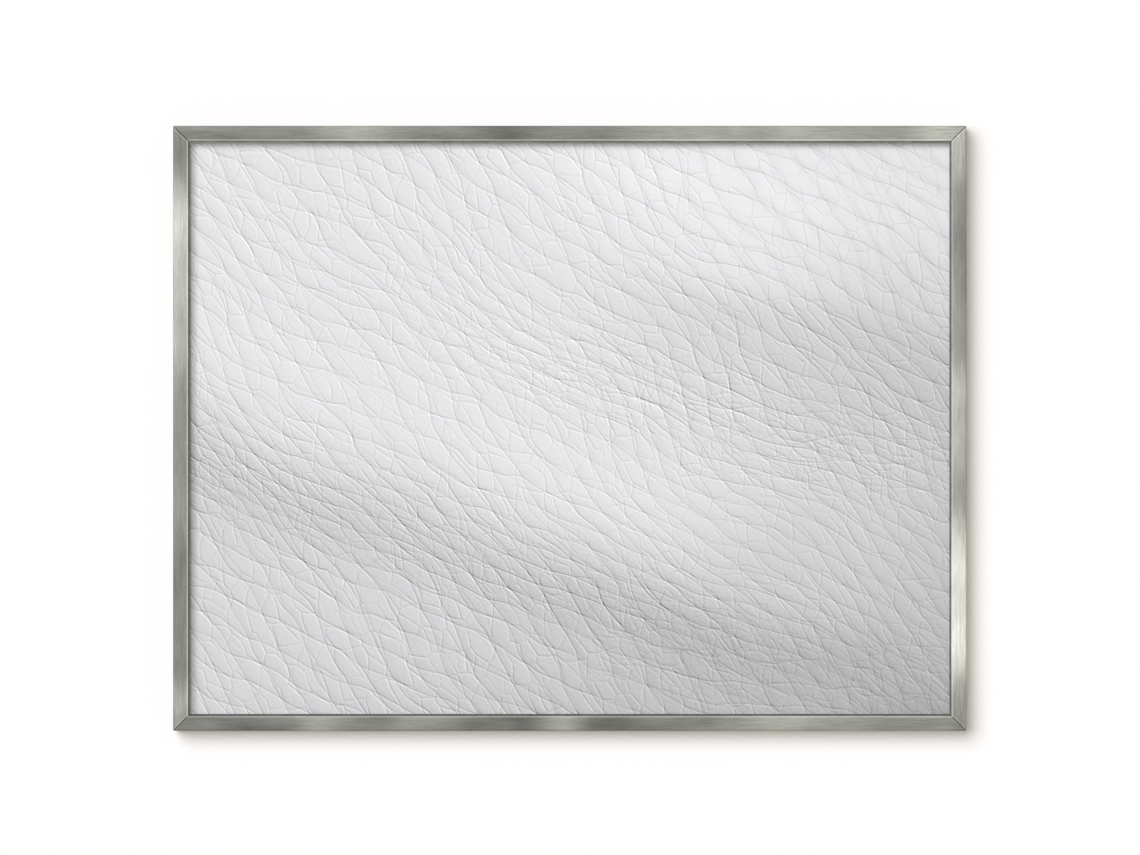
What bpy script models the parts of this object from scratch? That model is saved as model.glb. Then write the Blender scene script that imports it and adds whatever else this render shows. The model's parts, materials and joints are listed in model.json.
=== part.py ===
"""Framed magnetic glass board for a wall.

Four mitred aluminium rails hold a stack of glass pane, printed film, steel sheet and backing board.
Bowed spring clips push the stack forward against a thin seal. Pairs of angles, jacked apart by grub
screws, pull the corners together. The board hangs on two rings that swing on straps behind the side
rails, and two rubber bumpers keep its foot off the wall.

Metres. +X is to the right and +Z up for someone who faces the board, and +Y goes into the wall.
The origin is midway between the two wall hooks, in the plane of the wall.
"""

import math

import bmesh
import bpy

# Whole board
board_width = 0.830
board_height = 0.633
hook_drop = 0.075

# Clearances shared by all pieces
seat_gap = 0.0003
thread_gap = 0.00015
mitre_setback = 0.0002
overrun = 0.001

# Rail section, measured inward from the outer edge and rearward from the front face
outer_wall = 0.0015
front_wall = 0.0020
channel_width = 0.0100
inner_wall = 0.0015
nose_reach = 0.0027
nose_depth = 0.0040
nose_chamfer_width = 0.0016
nose_chamfer_depth = 0.0012
arris_radius = 0.0005
rear_lip_thickness = 0.0015
channel_lip_width = 0.0020
clip_flange_width = 0.0040
rib_width = 0.0012
rib_thickness = 0.0012

# Seal under the nose of the rails
seal_thickness = 0.0010
seal_show = 0.0017
seal_side_clearance = 0.0003

# Stack behind the seal
pane_edge_clearance = 0.0010
glass_thickness = 0.0040
glass_arris = 0.0005
glass_edge_dip = 0.00002
film_thickness = 0.0003
steel_thickness = 0.0008
backing_thickness = 0.0030
backing_arris = 0.0003

# Spring clips
clip_room = 0.0039
clip_length = 0.062
clip_width = 0.0090
clip_thickness = 0.0005
clip_side_clearance = 0.0005
clip_segments = 16
long_rail_clip_shares = (-0.33, 0.0, 0.33)
short_rail_clip_shares = (-0.26, 0.26)

# Corner angles and their grub screws
angle_arm = 0.042
angle_side_clearance = 0.0003
angle_heel_chamfer = 0.0030
plain_angle_thickness = 0.0012
threaded_angle_thickness = 0.0020
angle_spread = 0.0005
grub_radius = 0.0020
grub_point_radius = 0.0011
grub_point_length = 0.0005
grub_end_chamfer = 0.0003
grub_recess = 0.0006
grub_slot_width = 0.0007
grub_slot_depth = 0.0011
grub_from_arm_end = 0.011

# Hanger rings, straps, screws and nut plates
ring_wire_radius = 0.0010
ring_bend_radius = 0.0014
ring_side_clearance = 0.0003
ring_height = 0.0125
eye_clearance = 0.00015
strap_sheet = 0.0008
strap_width = 0.0070
strap_corner_radius = 0.0025
strap_end_margin = 0.0050
eye_to_upper_screw = 0.0060
hanger_screw_spacing = 0.0180
hanger_screw_radius = 0.0015
hanger_screw_point_chamfer = 0.0004
hanger_screw_past_nut = 0.0006
hanger_head_radius = 0.00275
hanger_head_height = 0.0017
hanger_head_crown = 0.0006
cross_recess_length = 0.0030
cross_recess_width = 0.0007
cross_recess_depth = 0.0009
nut_plate_thickness = 0.0020
nut_plate_side_clearance = 0.0003
nut_plate_end_margin = 0.0050

# Wall bumpers
bumper_radius = 0.0060
bumper_height = 0.0047
bumper_edge_radius = 0.0010
bumper_draft = 0.0004
bumper_from_side = 0.062

# Facets on round work
round_steps = 24
small_round_steps = 16
corner_steps = 4
arch_steps = 14

# Places that follow from the sizes above, inward from the outer edge
channel_end = outer_wall + channel_width
rebate_edge = channel_end + inner_wall
nose_edge = rebate_edge + nose_reach
channel_middle = outer_wall + channel_width / 2

# Depths that follow from the sizes above, rearward from the front face
seal_front = nose_depth + seat_gap
glass_front = seal_front + seal_thickness + seat_gap
film_front = glass_front + glass_thickness + seat_gap
steel_front = film_front + film_thickness + seat_gap
backing_front = steel_front + steel_thickness + seat_gap
backing_rear = backing_front + backing_thickness
rear_lip_front = backing_rear + clip_room
frame_depth = rear_lip_front + rear_lip_thickness
threaded_angle_front = rear_lip_front - seat_gap - threaded_angle_thickness
plain_angle_rear = threaded_angle_front - angle_spread
plain_angle_front = plain_angle_rear - plain_angle_thickness
rib_rear = plain_angle_front - seat_gap
rib_front = rib_rear - rib_thickness
wall_depth = frame_depth + seat_gap + bumper_height

# The ring leans forward until its arch lies one seat gap behind the rail
strap_front = frame_depth + seat_gap
strap_thickness = 2 * strap_sheet
eye_radius = ring_wire_radius + eye_clearance + strap_sheet
ring_pivot_depth = strap_front + eye_radius
ring_lean = math.asin((ring_pivot_depth - frame_depth - seat_gap - ring_wire_radius) / ring_height)
ring_pivot_drop = hook_drop + (ring_height - ring_wire_radius) * math.cos(ring_lean)

# A rail's direction, as the angle that turns the top rail into it
sides = {"top": 0.0, "right": math.pi / 2, "bottom": math.pi, "left": -math.pi / 2}
corners = {
    "top_right": (0.0, "top", "right"),
    "bottom_right": (math.pi / 2, "right", "bottom"),
    "bottom_left": (math.pi, "bottom", "left"),
    "top_left": (-math.pi / 2, "left", "top"),
}


# Workshop helpers

def clear_scene():
    for thing in list(bpy.data.objects):
        bpy.data.objects.remove(thing, do_unlink=True)


def finish(name, colour, roughness, metallic=0.0):
    material = bpy.data.materials.new(name)
    material.use_nodes = True
    shader = material.node_tree.nodes["Principled BSDF"]
    shader.inputs["Base Color"].default_value = (*colour, 1.0)
    shader.inputs["Roughness"].default_value = roughness
    shader.inputs["Metallic"].default_value = metallic
    material.diffuse_color = (*colour, 1.0)
    return material


def piece_from(bm, name, material, smooth_angle=None):
    """Turn a finished bmesh into an object that belongs to the board."""
    bmesh.ops.recalc_face_normals(bm, faces=bm.faces)
    mesh = bpy.data.meshes.new(name)
    bm.to_mesh(mesh)
    bm.free()
    mesh.materials.append(material)
    if smooth_angle is not None:
        mesh.shade_smooth()
        mesh.set_sharp_from_angle(angle=smooth_angle)
    return mounted(bpy.data.objects.new(name, mesh))


def mounted(piece):
    bpy.context.collection.objects.link(piece)
    piece.parent = front_middle
    return piece


def twin(piece, name):
    """A second copy of a piece that shares its mesh."""
    return mounted(bpy.data.objects.new(name, piece.data))


def cutter_from(bm):
    bmesh.ops.recalc_face_normals(bm, faces=bm.faces)
    mesh = bpy.data.meshes.new("cutter")
    bm.to_mesh(mesh)
    bm.free()
    cutter = mounted(bpy.data.objects.new("cutter", mesh))
    cutter.hide_render = True
    cutter.display_type = "WIRE"
    return cutter


def carve(piece, cutters):
    """Cut each closed shape out of a piece, then keep the result as its plain mesh."""
    for cutter in cutters:
        cut = piece.modifiers.new("cut", "BOOLEAN")
        cut.operation = "DIFFERENCE"
        cut.solver = "EXACT"
        cut.object = cutter
    bpy.context.view_layer.update()
    evaluated = piece.evaluated_get(bpy.context.evaluated_depsgraph_get())
    carved = bpy.data.meshes.new_from_object(evaluated)
    carved.name = piece.name
    piece.modifiers.clear()
    piece.data = carved
    for cutter in cutters:
        bpy.data.objects.remove(cutter, do_unlink=True)


def prism(rows):
    """Closed solid between two matching rows of points, given as (start, end) pairs."""
    bm = bmesh.new()
    starts = [bm.verts.new(start) for start, end in rows]
    ends = [bm.verts.new(end) for start, end in rows]
    bm.faces.new(starts)
    bm.faces.new(list(reversed(ends)))
    for index in range(len(rows)):
        after = (index + 1) % len(rows)
        bm.faces.new((starts[index], ends[index], ends[after], starts[after]))
    return bm


def box(width, depth, height, middle=(0.0, 0.0, 0.0)):
    bm = bmesh.new()
    bmesh.ops.create_cube(bm, size=1.0)
    bmesh.ops.scale(bm, vec=(width, depth, height), verts=bm.verts)
    bmesh.ops.translate(bm, vec=middle, verts=bm.verts)
    return bm


def turned(profile, steps):
    """Solid turned about the Y axis from (radius, depth) points, front to back."""
    bm = bmesh.new()
    rings = []
    for radius, depth in profile:
        ring = []
        for step in range(steps):
            angle = 2 * math.pi * step / steps
            ring.append(bm.verts.new((radius * math.cos(angle), depth, radius * math.sin(angle))))
        rings.append(ring)
    bm.faces.new(rings[0])
    bm.faces.new(list(reversed(rings[-1])))
    for front, back in zip(rings, rings[1:]):
        for step in range(steps):
            after = (step + 1) % steps
            bm.faces.new((front[step], back[step], back[after], front[after]))
    return bm


def quarter_round(middle, radius, start, steps):
    """Points of a quarter circle that runs clockwise from the angle start."""
    points = []
    for step in range(steps + 1):
        angle = start - math.pi / 2 * step / steps
        points.append((middle[0] + radius * math.cos(angle), middle[1] + radius * math.sin(angle)))
    return points


def rail_length(side):
    return board_width if side in ("top", "bottom") else board_height


def put_on_side(piece, side, along=0.0, inward=0.0, depth=0.0):
    """Place a piece whose own +Z points out of the board at a side's outer edge."""
    turn = sides[side]
    half = (board_height if side in ("top", "bottom") else board_width) / 2 - inward
    across = math.sin(turn)
    up = math.cos(turn)
    piece.location = (half * across + along * up, depth, half * up - along * across)
    piece.rotation_euler = (0.0, turn, 0.0)


def put_at_corner(piece, corner):
    """Place a piece whose arms run along its own -X and -Z from the board's corner."""
    turn = corners[corner][0]
    right = 1 if "right" in corner else -1
    up = 1 if "top" in corner else -1
    piece.location = (right * board_width / 2, 0.0, up * board_height / 2)
    piece.rotation_euler = (0.0, turn, 0.0)


def mitred_strip(name, outline, side, material):
    """Bar of (inward, depth) outline whose ends are cut at 45 degrees to meet its neighbours."""
    half = rail_length(side) / 2 - mitre_setback
    rows = [((-(half - inward), depth, -inward), (half - inward, depth, -inward))
            for inward, depth in outline]
    strip = piece_from(prism(rows), name, material)
    put_on_side(strip, side)
    return strip


# Frame rails: brushed aluminium extrusion, open at the back in a slotted channel

def rail_outline():
    front_arris = quarter_round((arris_radius, arris_radius), arris_radius, -math.pi / 2, corner_steps)
    rear_arris = quarter_round((arris_radius, frame_depth - arris_radius), arris_radius,
                               math.pi, corner_steps)
    slot_outer = outer_wall + channel_lip_width
    slot_inner = channel_end - channel_lip_width
    inner_face = [
        (slot_outer, frame_depth),
        (slot_outer, rear_lip_front),
        (outer_wall, rear_lip_front),
        (outer_wall, rib_rear),
        (outer_wall + rib_width, rib_rear),
        (outer_wall + rib_width, rib_front),
        (outer_wall, rib_front),
        (outer_wall, front_wall),
        (channel_end, front_wall),
        (channel_end, rib_front),
        (channel_end - rib_width, rib_front),
        (channel_end - rib_width, rib_rear),
        (channel_end, rib_rear),
        (channel_end, rear_lip_front),
        (slot_inner, rear_lip_front),
        (slot_inner, frame_depth),
        (rebate_edge + clip_flange_width, frame_depth),
        (rebate_edge + clip_flange_width, rear_lip_front),
        (rebate_edge, rear_lip_front),
        (rebate_edge, nose_depth),
        (nose_edge, nose_depth),
        (nose_edge, nose_chamfer_depth),
        (nose_edge - nose_chamfer_width, 0.0),
    ]
    return front_arris + rear_arris + inner_face


def make_rails():
    aluminium = finish("brushed_aluminium", (0.33, 0.33, 0.30), 0.34, 1.0)
    outline = rail_outline()
    for side in sides:
        mitred_strip(f"frame_rail_{side}", outline, side, aluminium)


# Glazing seal: four flat rubber strips between the rails' nose and the glass

def make_seals():
    rubber = finish("grey_seal_rubber", (0.10, 0.10, 0.095), 0.7)
    outer = rebate_edge + seal_side_clearance
    inner = nose_edge + seal_show
    rear = seal_front + seal_thickness
    outline = [(outer, seal_front), (outer, rear), (inner, rear), (inner, seal_front)]
    for side in sides:
        mitred_strip(f"glazing_seal_{side}", outline, side, rubber)


# Stack of flat sheets: glass, printed film, steel and backing board

def sheet_blank(thickness, arris=None):
    edge = rebate_edge + pane_edge_clearance
    bm = box(board_width - 2 * edge, thickness, board_height - 2 * edge)
    if arris is not None:
        bmesh.ops.bevel(bm, geom=bm.edges, offset=arris, segments=2, profile=0.5, affect="EDGES")
    return bm


def make_sheet(name, front, thickness, material, arris=None):
    sheet = piece_from(sheet_blank(thickness, arris), name, material)
    sheet.location = (0.0, front + thickness / 2, 0.0)


def make_pane(material):
    """Toughening leaves a pane's edge a hair lower than the middle, which shows between the seals."""
    edge_thickness = glass_thickness - glass_edge_dip
    bm = sheet_blank(edge_thickness, glass_arris)
    flat_edge = rebate_edge + pane_edge_clearance + glass_arris
    sight_edge = nose_edge + seal_show + seat_gap
    fronts = [face for face in bm.faces if face.normal.y < -math.cos(math.radians(1))]
    bmesh.ops.inset_region(bm, faces=fronts, thickness=sight_edge - flat_edge, depth=glass_edge_dip,
                           use_even_offset=True)
    pane = piece_from(bm, "glass_pane", material)
    pane.location = (0.0, glass_front + glass_edge_dip + edge_thickness / 2, 0.0)


def make_stack():
    glass = finish("clear_toughened_glass", (0.92, 0.95, 0.94), 0.03)
    print_film = finish("leather_print", (0.80, 0.81, 0.83), 0.45)
    steel = finish("galvanised_steel", (0.55, 0.56, 0.57), 0.42, 1.0)
    board = finish("hardboard", (0.36, 0.25, 0.15), 0.75)
    make_pane(glass)
    make_sheet("leather_print_film", film_front, film_thickness, print_film)
    make_sheet("steel_sheet", steel_front, steel_thickness, steel)
    make_sheet("backing_board", backing_front, backing_thickness, board, backing_arris)


# Spring clips: bowed steel strips between the backing board and the rails' rear flange

def make_clip(name, material):
    rise = clip_room - 2 * seat_gap - clip_thickness
    low_side = []
    high_side = []
    for step in range(clip_segments + 1):
        share = step / clip_segments
        along = clip_length * (share - 1 / 2)
        bow = rise * (1 - math.cos(2 * math.pi * share)) / 2
        low_side.append((along, bow))
        high_side.append((along, bow + clip_thickness))
    outline = low_side + list(reversed(high_side))
    rows = [((along, depth, -clip_width), (along, depth, 0.0)) for along, depth in outline]
    return piece_from(prism(rows), name, material, math.radians(30))


def make_clips():
    spring_steel = finish("spring_steel", (0.42, 0.42, 0.41), 0.35, 1.0)
    first = None
    for side in sides:
        shares = long_rail_clip_shares if side in ("top", "bottom") else short_rail_clip_shares
        for number, share in enumerate(shares, start=1):
            name = f"spring_clip_{side}_{number}"
            clip = twin(first, name) if first else make_clip(name, spring_steel)
            first = first or clip
            put_on_side(clip, side, along=share * rail_length(side),
                        inward=rebate_edge + clip_side_clearance, depth=backing_rear + seat_gap)


# Corner joints: a threaded and a plain angle in the rear channel, jacked apart by grub screws

def make_angle(name, material, front, thickness):
    near = outer_wall + angle_side_clearance
    far = channel_end - angle_side_clearance
    heel = near + angle_heel_chamfer
    outline = [(heel, near), (angle_arm, near), (angle_arm, far), (far, far),
               (far, angle_arm), (near, angle_arm), (near, heel)]
    rows = [((-across, front, -down), (-across, front + thickness, -down)) for across, down in outline]
    return piece_from(prism(rows), name, material)


def screw_places():
    """Distances of the two grub screws from the corner's outer edges, as (across, down)."""
    along = angle_arm - grub_from_arm_end
    return {"first": (along, channel_middle), "second": (channel_middle, along)}


def make_grub(name, material):
    """Slotted grub screw, its point just off the plain angle."""
    tip = plain_angle_rear + seat_gap
    end = frame_depth - grub_recess
    profile = [(grub_point_radius, tip),
               (grub_radius, tip + grub_point_length),
               (grub_radius, end - grub_end_chamfer),
               (grub_radius - grub_end_chamfer, end)]
    grub = piece_from(turned(profile, small_round_steps), name, material, math.radians(30))
    slot = box(2 * (grub_radius + overrun), grub_slot_depth + overrun, grub_slot_width,
               (0.0, end - grub_slot_depth + (grub_slot_depth + overrun) / 2, 0.0))
    carve(grub, [cutter_from(slot)])
    return grub


def round_cutter(radius, front, rear, steps, across=0.0, up=0.0):
    bm = turned([(radius, front - overrun), (radius, rear + overrun)], steps)
    bmesh.ops.translate(bm, vec=(across, 0.0, up), verts=bm.verts)
    return cutter_from(bm)


def make_corners():
    zinc = finish("zinc_plated_steel", (0.50, 0.50, 0.49), 0.38, 1.0)
    dark_steel = finish("blackened_screw_steel", (0.16, 0.16, 0.165), 0.40, 1.0)
    rear = threaded_angle_front + threaded_angle_thickness
    first_threaded = None
    first_plain = None
    first_grub = None
    for corner, (turn, first_side, second_side) in corners.items():
        threaded_name = f"corner_angle_threaded_{corner}"
        plain_name = f"corner_angle_plain_{corner}"
        if first_threaded is None:
            first_threaded = make_angle(threaded_name, zinc, threaded_angle_front,
                                        threaded_angle_thickness)
            carve(first_threaded, [
                round_cutter(grub_radius + thread_gap, threaded_angle_front, rear, small_round_steps,
                             -across, -down)
                for across, down in screw_places().values()])
            first_plain = make_angle(plain_name, zinc, plain_angle_front, plain_angle_thickness)
            threaded, plain = first_threaded, first_plain
        else:
            threaded, plain = twin(first_threaded, threaded_name), twin(first_plain, plain_name)
        put_at_corner(threaded, corner)
        put_at_corner(plain, corner)
        for side, (across, down) in zip((first_side, second_side), screw_places().values()):
            name = f"corner_screw_{corner}_in_{side}_rail"
            grub = twin(first_grub, name) if first_grub else make_grub(name, dark_steel)
            first_grub = first_grub or grub
            # The first screw of a corner sits on the arm along -X, the second on the arm along -Z
            left_of = -across * math.cos(turn) - down * math.sin(turn)
            below = across * math.sin(turn) - down * math.cos(turn)
            grub.location = (threaded.location[0] + left_of, 0.0, threaded.location[2] + below)
            grub.rotation_euler = (0.0, turn + math.pi / 4, 0.0)


# Hangers: a folded strap screwed to a nut plate in the side rail's channel, with a swinging ring

def make_strap(name, material):
    """Strap folded double round the ring's leg, its own origin on the ring's axis."""
    tail = eye_to_upper_screw + hanger_screw_spacing + strap_end_margin
    front = -eye_radius
    rear = front + strap_thickness
    last = -math.acos(rear / eye_radius)
    outline = [(front, -tail)]
    for step in range(round_steps + 1):
        angle = math.pi + (last - math.pi) * step / round_steps
        outline.append((eye_radius * math.cos(angle), eye_radius * math.sin(angle)))
    outline.append((rear, -tail))
    rows = [((-strap_width / 2, depth, up), (strap_width / 2, depth, up)) for depth, up in outline]
    bm = prism(rows)
    end_edges = [edge for edge in bm.edges
                 if all(vert.co.z < -tail + seat_gap for vert in edge.verts)
                 and abs(edge.verts[0].co.x - edge.verts[1].co.x) < seat_gap]
    bmesh.ops.bevel(bm, geom=end_edges, offset=strap_corner_radius, segments=corner_steps,
                    profile=0.5, affect="EDGES")
    strap = piece_from(bm, name, material, math.radians(30))
    eye = turned([(ring_wire_radius + eye_clearance, -strap_width / 2 - overrun),
                  (ring_wire_radius + eye_clearance, strap_width / 2 + overrun)], small_round_steps)
    for vert in eye.verts:
        vert.co = (vert.co.y, vert.co.x, vert.co.z)
    holes = [round_cutter(hanger_screw_radius + thread_gap, front, rear, small_round_steps, 0.0, -drop)
             for drop in hanger_screw_drops()]
    carve(strap, [cutter_from(eye)] + holes)
    return strap


def hanger_screw_drops():
    """How far the two screws lie below the ring's axis."""
    return (eye_to_upper_screw, eye_to_upper_screw + hanger_screw_spacing)


def make_ring(name, material):
    """D-shaped wire ring with its straight leg on the X axis, pointing up."""
    leg_half = strap_width / 2 + ring_side_clearance
    arm = leg_half + ring_bend_radius
    spring_line = ring_height - arm
    path = []
    for step in range(corner_steps + 1):
        angle = -math.pi / 2 + math.pi / 2 * step / corner_steps
        path.append((leg_half + ring_bend_radius * math.cos(angle),
                     ring_bend_radius * (1 + math.sin(angle))))
    for step in range(arch_steps + 1):
        angle = math.pi * step / arch_steps
        path.append((arm * math.cos(angle), spring_line + arm * math.sin(angle)))
    for step in range(corner_steps + 1):
        angle = math.pi + math.pi / 2 * step / corner_steps
        path.append((-leg_half + ring_bend_radius * math.cos(angle),
                     ring_bend_radius * (1 + math.sin(angle))))
    curve = bpy.data.curves.new(name, "CURVE")
    curve.dimensions = "3D"
    curve.bevel_depth = ring_wire_radius
    curve.bevel_resolution = 4
    curve.materials.append(material)
    spline = curve.splines.new("POLY")
    spline.points.add(len(path) - 1)
    for point, (across, up) in zip(spline.points, path):
        point.co = (across, 0.0, up, 1.0)
    spline.use_cyclic_u = True
    return mounted(bpy.data.objects.new(name, curve))


def make_hanger_screw(name, material):
    """Pan-head cross-recess screw, its own origin in the plane under the head."""
    grip = strap_thickness + seat_gap + strap_front - rear_lip_front + seat_gap
    length = grip + nut_plate_thickness + hanger_screw_past_nut
    rim = hanger_head_height - hanger_head_crown
    profile = [(hanger_screw_radius - hanger_screw_point_chamfer, -length),
               (hanger_screw_radius, -length + hanger_screw_point_chamfer),
               (hanger_screw_radius, 0.0),
               (hanger_head_radius, 0.0),
               (hanger_head_radius, rim)]
    for step in range(1, corner_steps):
        angle = math.pi / 2 * step / corner_steps
        profile.append((hanger_head_radius * math.cos(angle),
                        rim + hanger_head_crown * math.sin(angle)))
    screw = piece_from(turned(profile, small_round_steps), name, material, math.radians(30))
    floor = hanger_head_height - cross_recess_depth
    height = cross_recess_depth + overrun
    middle = (0.0, floor + height / 2, 0.0)
    arms = [box(cross_recess_length, height, cross_recess_width, middle),
            box(cross_recess_width, height, cross_recess_length, middle)]
    carve(screw, [cutter_from(arm) for arm in arms])
    return screw


def make_nut_plate(name, material):
    """Flat plate that sits behind the channel's lips, its origin level with the ring's axis."""
    width = channel_width - 2 * nut_plate_side_clearance
    upper = -eye_to_upper_screw + nut_plate_end_margin
    lower = -eye_to_upper_screw - hanger_screw_spacing - nut_plate_end_margin
    rear = rear_lip_front - seat_gap
    front = rear - nut_plate_thickness
    bm = box(width, nut_plate_thickness, upper - lower,
             (0.0, (front + rear) / 2, (upper + lower) / 2))
    plate = piece_from(bm, name, material)
    carve(plate, [round_cutter(hanger_screw_radius + thread_gap, front, rear, small_round_steps, 0.0, -drop)
                  for drop in hanger_screw_drops()])
    return plate


def make_hangers():
    nickel = finish("nickel_plated_steel", (0.58, 0.56, 0.52), 0.25, 1.0)
    screw_steel = finish("zinc_plated_screw_steel", (0.52, 0.52, 0.50), 0.33, 1.0)
    plate_steel = finish("nut_plate_steel", (0.45, 0.45, 0.44), 0.40, 1.0)
    pivot_height = board_height / 2 - ring_pivot_drop
    head_seat = strap_front + strap_thickness + seat_gap
    first = {}

    def next_piece(kind, name, make, material):
        piece = twin(first[kind], name) if kind in first else make(name, material)
        first.setdefault(kind, piece)
        return piece

    for side, sign in (("left", -1), ("right", 1)):
        across = sign * (board_width / 2 - channel_middle)
        strap = next_piece("strap", f"hanger_strap_{side}", make_strap, nickel)
        strap.location = (across, ring_pivot_depth, pivot_height)
        # The ring's origin is on its joint's axis
        ring = next_piece("ring", f"hanger_ring_{side}", make_ring, nickel)
        ring.location = (across, ring_pivot_depth, pivot_height)
        ring.rotation_euler = (ring_lean, 0.0, 0.0)
        plate = next_piece("plate", f"hanger_nut_plate_{side}", make_nut_plate, plate_steel)
        plate.location = (across, 0.0, pivot_height)
        for place, drop in zip(("upper", "lower"), hanger_screw_drops()):
            screw = next_piece("screw", f"hanger_screw_{side}_{place}", make_hanger_screw, screw_steel)
            screw.location = (across, head_seat, pivot_height - drop)


# Wall bumpers: moulded rubber buttons stuck behind the bottom rail

def make_bumpers():
    rubber = finish("bumper_rubber", (0.045, 0.045, 0.047), 0.65)
    profile = [(bumper_radius, 0.0)]
    top_radius = bumper_radius - bumper_draft
    for step in range(corner_steps + 1):
        angle = math.pi / 2 * step / corner_steps
        profile.append((top_radius - bumper_edge_radius * (1 - math.cos(angle)),
                        bumper_height - bumper_edge_radius * (1 - math.sin(angle))))
    first = None
    for side, sign in (("left", 1), ("right", -1)):
        name = f"wall_bumper_{side}"
        if first is None:
            bumper = piece_from(turned(profile, round_steps), name, rubber, math.radians(30))
            first = bumper
        else:
            bumper = twin(first, name)
        put_on_side(bumper, "bottom", along=sign * (board_width / 2 - bumper_from_side),
                    inward=channel_middle, depth=strap_front)


clear_scene()
# Every piece hangs on this empty: X and Z from the board's middle, Y rearward from its front face
front_middle = bpy.data.objects.new("front_middle", None)
front_middle.location = (0.0, -wall_depth, hook_drop - board_height / 2)
bpy.context.collection.objects.link(front_middle)
make_rails()
make_seals()
make_stack()
make_clips()
make_corners()
make_hangers()
make_bumpers()
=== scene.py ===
"""The looks of a wall-hung magnetic glass board: a brushed frame round a pane with a leather print.

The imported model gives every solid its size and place. The sections follow the board as it is put
together, from the frame to the hangers, and end with the wall that it hangs on.
"""
import json
import math

import bpy
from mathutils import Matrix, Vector


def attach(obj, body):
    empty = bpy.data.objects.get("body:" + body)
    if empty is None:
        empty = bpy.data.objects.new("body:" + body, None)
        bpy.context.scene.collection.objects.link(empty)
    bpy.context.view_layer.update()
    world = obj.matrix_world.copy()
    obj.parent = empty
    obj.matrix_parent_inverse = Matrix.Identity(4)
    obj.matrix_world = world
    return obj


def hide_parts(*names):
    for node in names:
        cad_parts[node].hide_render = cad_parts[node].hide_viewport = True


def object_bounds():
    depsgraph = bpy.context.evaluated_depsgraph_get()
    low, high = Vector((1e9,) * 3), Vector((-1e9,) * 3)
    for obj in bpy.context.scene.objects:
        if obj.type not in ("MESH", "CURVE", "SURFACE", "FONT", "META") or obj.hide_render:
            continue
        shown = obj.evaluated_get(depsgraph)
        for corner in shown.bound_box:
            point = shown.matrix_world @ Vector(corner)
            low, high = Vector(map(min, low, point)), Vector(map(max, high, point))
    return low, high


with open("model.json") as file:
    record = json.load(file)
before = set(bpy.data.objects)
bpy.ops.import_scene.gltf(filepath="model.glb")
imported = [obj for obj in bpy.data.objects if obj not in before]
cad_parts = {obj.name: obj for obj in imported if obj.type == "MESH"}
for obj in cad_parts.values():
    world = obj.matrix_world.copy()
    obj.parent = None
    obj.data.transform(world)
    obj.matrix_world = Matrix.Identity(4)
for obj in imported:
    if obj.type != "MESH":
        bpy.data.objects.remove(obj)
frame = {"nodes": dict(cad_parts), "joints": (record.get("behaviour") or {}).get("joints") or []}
cad_box = [list(corner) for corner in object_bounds()]

# Viewpoint: square to the wall, and so far off that the frame's sides stay hidden. The photograph's own
# pixels give the distance and the board's place in the picture.
photo_width, photo_height = 1140, 855
left_edge_pixel, right_edge_pixel = 173.1, 966.4
top_edge_pixel, bottom_edge_pixel = 125.9, 730.8
lens_length, sensor_width = 200.0, 36.0
farthest_seen = 50.0

board_low, board_high = (Vector(corner) for corner in cad_box)
board_middle = (board_low + board_high) / 2
pixel = (board_high.x - board_low.x) / (right_edge_pixel - left_edge_pixel)
camera_distance = photo_width * pixel * lens_length / sensor_width

bpy.ops.object.select_all(action="DESELECT")
bpy.ops.object.camera_add(rotation=(math.pi / 2, 0.0, 0.0), location=(
    board_middle.x + (photo_width - left_edge_pixel - right_edge_pixel) / 2 * pixel,
    board_low.y - camera_distance,
    board_middle.z + (top_edge_pixel + bottom_edge_pixel - photo_height) / 2 * pixel))
camera = bpy.context.object
camera.data.lens = lens_length
camera.data.sensor_width = sensor_width
camera.data.clip_end = farthest_seen
bpy.context.scene.camera = camera


# Frame rails: four lengths of aluminium extrusion, mitred at 45 degrees and held together by angles in
# their rear channel. Brushed along their length, anodised a warm grey and cut bright along the inner edge.
# Their clouds of light and dark are partly uneven anodising and partly painted reflections, each rail is
# painted lighter or darker for its side, and the face is painted darker towards its outer edge.
mm = 0.001


class Amount:
    """A number that changes over a surface. Sums and products on it add the nodes that work them out."""

    def __init__(self, tree, socket):
        self.tree = tree
        self.socket = socket

    def reckon(self, operation, *others):
        node = self.tree.nodes.new("ShaderNodeMath")
        node.operation = operation
        for place, amount in zip(node.inputs, (self, *others)):
            if isinstance(amount, Amount):
                self.tree.links.new(amount.socket, place)
            else:
                place.default_value = amount
        return Amount(self.tree, node.outputs[0])

    def __add__(self, other):
        return self.reckon("ADD", other)

    __radd__ = __add__

    def __mul__(self, other):
        return self.reckon("MULTIPLY", other)

    __rmul__ = __mul__

    def __sub__(self, other):
        return self.reckon("SUBTRACT", other)

    def __rsub__(self, other):
        return self.reckon("MULTIPLY_ADD", -1.0, other)

    def __truediv__(self, other):
        return self.reckon("DIVIDE", other)


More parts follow.
